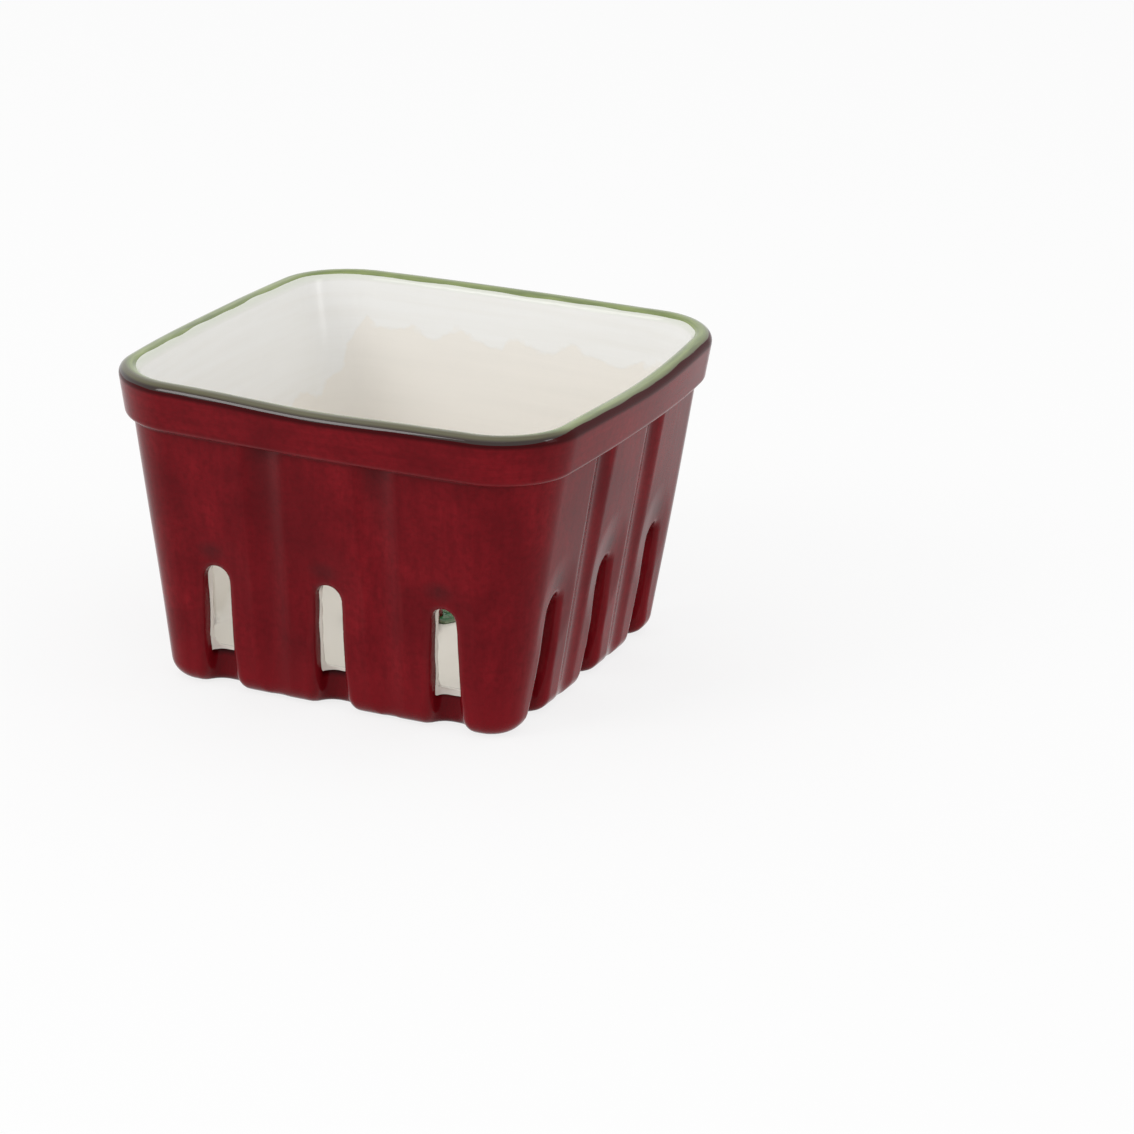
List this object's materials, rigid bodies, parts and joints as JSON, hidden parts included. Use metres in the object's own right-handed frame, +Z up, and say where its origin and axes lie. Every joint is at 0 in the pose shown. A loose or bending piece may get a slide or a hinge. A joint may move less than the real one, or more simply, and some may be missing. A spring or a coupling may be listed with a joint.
{
  "type": "berry colander bowl",
  "caption": "Square glazed bowl with leaning fluted walls, a banded lip, arched drain slots low in each wall and a berry relief on its floor.",
  "frame": {"origin": "middle of the foot, on the surface that the bowl stands on", "axes": "+Z up out of the bowl's mouth, -Y out of the front wall, +X to the right"},
  "size_m": [0.1328, 0.1328, 0.086],
  "materials": {
    "fired_clay": "bare fired earthenware",
    "red_glaze": "brushed deep red gloss glaze",
    "white_glaze": "warm white gloss glaze",
    "green_glaze": "brushed green gloss glaze",
    "berry_glaze": "dark red-brown gloss underglaze",
    "leaf_glaze": "dark green gloss underglaze"
  },
  "bodies": {
    "root": {"bowl_body": "fired_clay", "outer_glaze": "red_glaze", "inner_glaze": "white_glaze", "rim_glaze": "green_glaze", "berry_core": "berry_glaze", "berry_drupelets": "berry_glaze", "leaf": "leaf_glaze", "leaf_midrib": "leaf_glaze"}
  },
  "joints": []
}
